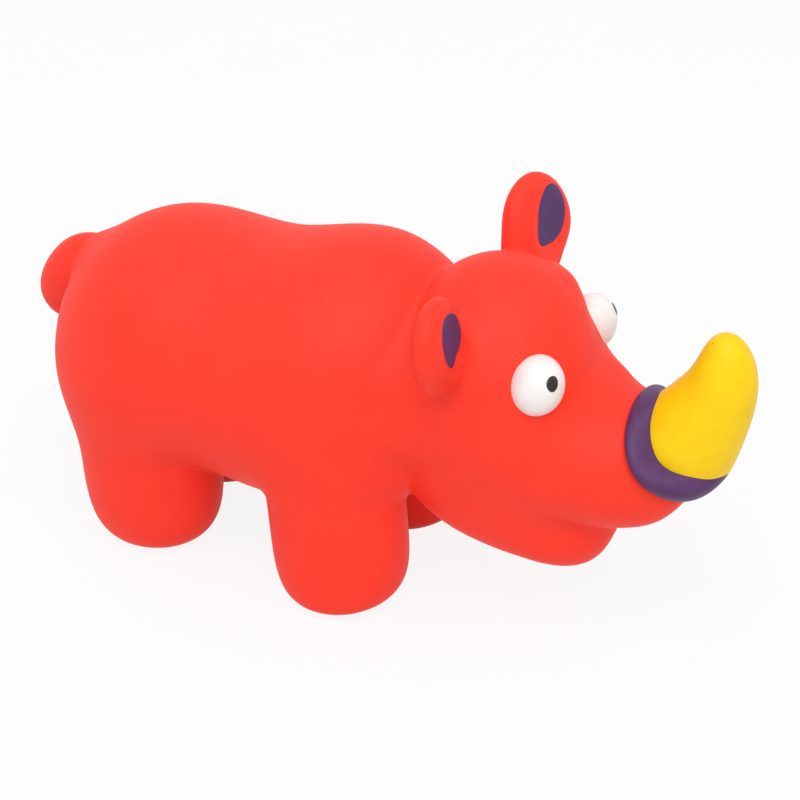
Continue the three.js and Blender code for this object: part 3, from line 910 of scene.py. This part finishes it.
def collar_edge(angle):
    """Place of the ring's brushed edge along the horn, at angles from the horn's rear."""
    return varied(COLLAR_EDGE, angle) + ripple(COLLAR_RIPPLES, angle)


def make_horn():
    """The curved horn, from just under the ring's edge to its tip."""
    rows, columns = HORN_GRID
    angle = circle(columns)
    start = collar_edge(angle) - HORN_TUCK
    points, _ = on_loft(HORN, HORN_ENDS, start + (1 - start) * eased(rows)[:, None], angle)
    horn = dress(closed_grid("horn_painted", points), yellow, "yellow_paint", "horn")
    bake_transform(horn)


def make_collar():
    """The ring: straight from the oval on the snout to the edge on the horn, and swollen between them.

    At share s of the way the swell is (4 s (1 - s))^n of its whole, with n the roundness.
    """
    rows, columns = COLLAR_GRID
    angle = circle(columns)
    s = np.linspace(0, 1, rows)[:, None, None]
    x, z, tilt, high, wide = COLLAR_FOOT
    tilt = math.radians(tilt)
    middle = np.array([x, 0, z])
    back, side = high * np.cos(angle), wide * np.sin(angle)
    drop = COLLAR_DROOP * np.sin(angle) ** 2
    along, up = math.cos(tilt), math.sin(tilt)
    oval = middle + np.stack([-up * back - along * drop, side, along * back - up * drop], -1)
    foot = settle(body_distance, oval, COLLAR_PROUD, rounds=4)
    sunk = settle(body_distance, oval, -COLLAR_SINK, rounds=4)
    top, spine = on_loft(HORN, HORN_ENDS, collar_edge(angle), angle)
    top = top - COLLAR_BITE * unit(top - spine)
    outwards = unit(foot + top - middle - spine)
    rise = (4 * s * (1 - s)) ** COLLAR_ROUNDNESS
    swell = rise * varied(COLLAR_SWELL, angle)[:, None] * outwards
    points = (1 - s) * foot + s * top + swell
    inner = spine + COLLAR_CORE * (top - spine)
    rings = [0 * sunk + middle, sunk, *points, inner, 0 * inner + spine.mean(0)]
    collar = dress(closed_grid("collar_painted", np.stack(rings)), purple, "purple_paint", "horn_collar")
    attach(collar, "toy")


def make_eye(side, eye):
    """A smooth painted ball, and the brushed pupil: a low dome on the ball with a slightly uneven edge."""
    rows, columns = EYE_GRID
    ring = circle(columns)
    aim = unit(np.array(eye["gaze"]))
    across = unit(np.cross((0, 0, 1), aim))
    up = np.cross(aim, across)
    radial = np.cos(ring)[:, None] * across + np.sin(ring)[:, None] * up

    def place(fall, lift):
        """Points at angles from the gaze, at a share of the ball's radii."""
        direction = np.cos(fall)[..., None] * aim + np.sin(fall)[..., None] * radial
        return np.array(eye["centre"]) + EYE_RADII * (lift * direction)

    ball = closed_grid(side + "_eye_painted", place(np.linspace(0, np.pi, rows)[:, None] + 0 * ring, 1))
    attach(dress(ball, white, "white_paint", side + "_eye"), "toy")
    grow, top = over_and_under(PUPIL_ROWS)
    edge = np.hypot(PUPIL_HALF[0] * np.cos(ring), PUPIL_HALF[1] * np.sin(ring))
    edge = edge * (1 + ripple(PUPIL_RIPPLES, ring))
    lift = 1 + np.where(top, PUPIL_DOME, -PUPIL_ROOT) * (1 - grow**PUPIL_THINNING)
    pupil = closed_grid(side + "_pupil_paint", place(grow * edge, lift[..., None]))
    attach(dress(pupil, black, "black_paint", side + "_pupil"), "toy")


def rounded(profile, radius):
    """A closed outline with each corner cut back by the radius on a parabola."""
    corner = np.array(profile, float)
    before, after = np.roll(corner, 1, 0) - corner, np.roll(corner, -1, 0) - corner
    cut = lambda way: way * np.minimum(radius / np.linalg.norm(way, axis=1), CORNER_MOST)[:, None]
    back, on = corner + cut(before), corner + cut(after)
    share = np.linspace(0, 1, CORNER_POINTS)[None, :, None]
    start, turn, end = back[:, None], corner[:, None], on[:, None]
    arc = (1 - share) ** 2 * start + 2 * share * (1 - share) * turn + share**2 * end
    return arc.reshape(-1, 2)


def make_squeaker():
    """The squeaker's sleeve, turned about its axis: a lip outside the belly, a barb inside, an open bore."""
    lip_low, lip_high = SQUEAKER_LIP
    barb, barb_low, barb_high = SQUEAKER_BARB
    top = BELLY_Z + SQUEAKER_LENGTH
    profile = [
        (SQUEAKER_BORE, lip_low),
        (SQUEAKER_LIP_RADIUS, lip_low),
        (SQUEAKER_LIP_RADIUS, lip_high),
        (SQUEAKER_RADIUS, lip_high),
        (SQUEAKER_RADIUS, barb_low),
        (barb, barb_low),
        (SQUEAKER_RADIUS, barb_high),
        (SQUEAKER_RADIUS, top),
        (SQUEAKER_BORE, top),
    ]
    outline = rounded(profile, SQUEAKER_EDGE)
    angle = circle(SLEEVE_COLUMNS)[:, None]
    reach, height = outline[:, 0], outline[:, 1] + 0 * angle
    points = np.stack([SQUEAKER_X + reach * np.cos(angle), reach * np.sin(angle), height], -1)
    sleeve = dress(ring_grid("squeaker_sleeve", points), polyethylene, "squeaker_plastic", "squeaker_body")
    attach(sleeve, "toy")


def lumps(x, y, z):
    """Gentle lumps of packed fibre, from three crossed waves."""
    pairs = zip(((x, y), (y, z), (z, x)), LUMP_WAVES)
    return LUMP_HEIGHT * sum(np.sin(a / first + b / second) for (a, b), (first, second) in pairs)


def torso_fibre_distance(x, y, z):
    """Stuffing inside the torso's wall, with a pocket round the squeaker."""
    packed = torso_form.distance(x, y, z) + 2 * WALL + lumps(x, y, z)
    reach = np.hypot(x - SQUEAKER_X, y)
    pocket = np.maximum(reach - BELLY_RIM_RADIUS - WALL, z - BELLY_Z - SQUEAKER_LENGTH - WALL)
    return -merge(-packed, pocket, BELLY_EDGE)


def head_fibre_distance(x, y, z):
    """Stuffing inside the head's wall, in front of the torso's."""
    packed = head_distance(x, y, z) + 2 * WALL + lumps(x, y, z)
    return -merge(-packed, torso_form.distance(x, y, z) - lumps(x, y, z), BELLY_EDGE)


def make_fibre():
    """The stuffing of torso and head, as soft lumps."""
    for name, field in (("torso", torso_fibre_distance), ("head", head_fibre_distance)):
        points, faces = wrap(field, *FIBRE_BOXES[name], FIBRE_CELL, rounds=3)
        stuffing = dress(build(name + "_fibre", points, faces), fibre, "fibre", name + "_filling")
        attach(stuffing, "toy")
        if name == "torso":
            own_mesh(stuffing)


make_skin()
for side, ear in (("left", LEFT_EAR), ("right", RIGHT_EAR)):
    make_ear(side, ear)
    make_lining(side, ear)
make_tail()
make_horn()
make_collar()
for side, eye in (("left", LEFT_EYE), ("right", RIGHT_EYE)):
    make_eye(side, eye)
make_squeaker()
make_fibre()
for node, material in (
    ("squeaker_cap", polyethylene),
    ("reed_seat", polyethylene),
    ("reed_wedge", polyethylene),
    ("reed", film),
):
    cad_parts[node].data.materials.clear()
    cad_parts[node].data.materials.append(material)

# Stage: a pale floor, an even white surround and one large soft lamp above and behind the camera
FLOOR_HALF = 4.0
FLOOR_GLOW = 0.88
SURROUND = 0.68
LAMP_PLACE = (0.35, -0.75, 1.5)
LAMP_SIZE = 1.4
LAMP_POWER = 17.0


def seen_rays(tree):
    """1 for what the camera sees, straight or in a glossy or clear surface, and 0 for light on things."""
    rays = add(tree, "ShaderNodeLightPath").outputs
    seen = rays["Is Camera Ray"]
    for ray in ("Is Glossy Ray", "Is Transmission Ray"):
        seen = add(tree, "ShaderNodeMath", {0: seen, 1: rays[ray]}, operation="MAXIMUM").outputs[0]
    return seen


corners = FLOOR_HALF * np.array([[-1, -1, 0], [1, -1, 0], [1, 1, 0], [-1, 1, 0]]) / MM
floor = build("floor", corners, [[0, 1, 2, 3]])
# Matt white card, washed out towards white where the camera sees it, which leaves a faint shadow
card = coat(
    "matt_white_card", "#E6E6E6", "#E4E4E4",
    mottle=40, grain=2, relief=0.01, roughness=0.9, spread=0.02,
)
tree = card.node_tree
share = add(tree, "ShaderNodeMath", {0: seen_rays(tree), 1: FLOOR_GLOW}, operation="MULTIPLY").outputs[0]
white_light = add(tree, "ShaderNodeEmission", {"Strength": 1.0}).outputs["Emission"]
matt = tree.nodes["Principled BSDF"].outputs["BSDF"]
washed = add(tree, "ShaderNodeMixShader", {0: share, 1: matt, 2: white_light})
tree.links.new(washed.outputs["Shader"], tree.nodes["Material Output"].inputs["Surface"])
floor.data.materials.append(card)

scene = bpy.context.scene
scene.view_settings.view_transform = "Standard"
world = bpy.data.worlds.new("white_surround")
world.use_nodes = True
tree = world.node_tree
tree.nodes.clear()
seen = seen_rays(tree)
brightness = {"Value": seen, "To Min": SURROUND, "To Max": 1.0}
strength = add(tree, "ShaderNodeMapRange", brightness).outputs["Result"]
backdrop = add(tree, "ShaderNodeBackground", {"Color": linear("#FFFFFF"), "Strength": strength})
add(tree, "ShaderNodeOutputWorld", {"Surface": backdrop.outputs["Background"]})
scene.world = world

lamp = bpy.data.lights.new("soft_lamp", "AREA")
lamp.energy = LAMP_POWER
lamp.size = LAMP_SIZE
lamp_object = bpy.data.objects.new("soft_lamp", lamp)
lamp_object.location = LAMP_PLACE
lamp_object.rotation_euler = (-Vector(LAMP_PLACE)).to_track_quat("-Z", "Y").to_euler()
scene.collection.objects.link(lamp_object)

# Camera at the photograph's place
CAMERA_TARGET = Vector((9.3, 0.0, 46.4)) * MM
CAMERA_DISTANCE = 388.5 * MM
CAMERA_AZIMUTH = math.radians(24.6)
CAMERA_ELEVATION = math.radians(30.9)
CAMERA_LENS = 70.0
CAMERA_SENSOR = 36.0
CAMERA_NEAR = 0.01
back = Vector(
    (
        math.sin(CAMERA_AZIMUTH) * math.cos(CAMERA_ELEVATION),
        -math.cos(CAMERA_AZIMUTH) * math.cos(CAMERA_ELEVATION),
        math.sin(CAMERA_ELEVATION),
    )
)
camera = bpy.data.objects.new("camera", bpy.data.cameras.new("camera"))
camera.data.lens = CAMERA_LENS
camera.data.sensor_width = CAMERA_SENSOR
camera.data.clip_start = CAMERA_NEAR
camera.location = CAMERA_TARGET + back * CAMERA_DISTANCE
camera.rotation_euler = (-back).to_track_quat("-Z", "Y").to_euler()
scene.collection.objects.link(camera)
scene.camera = camera
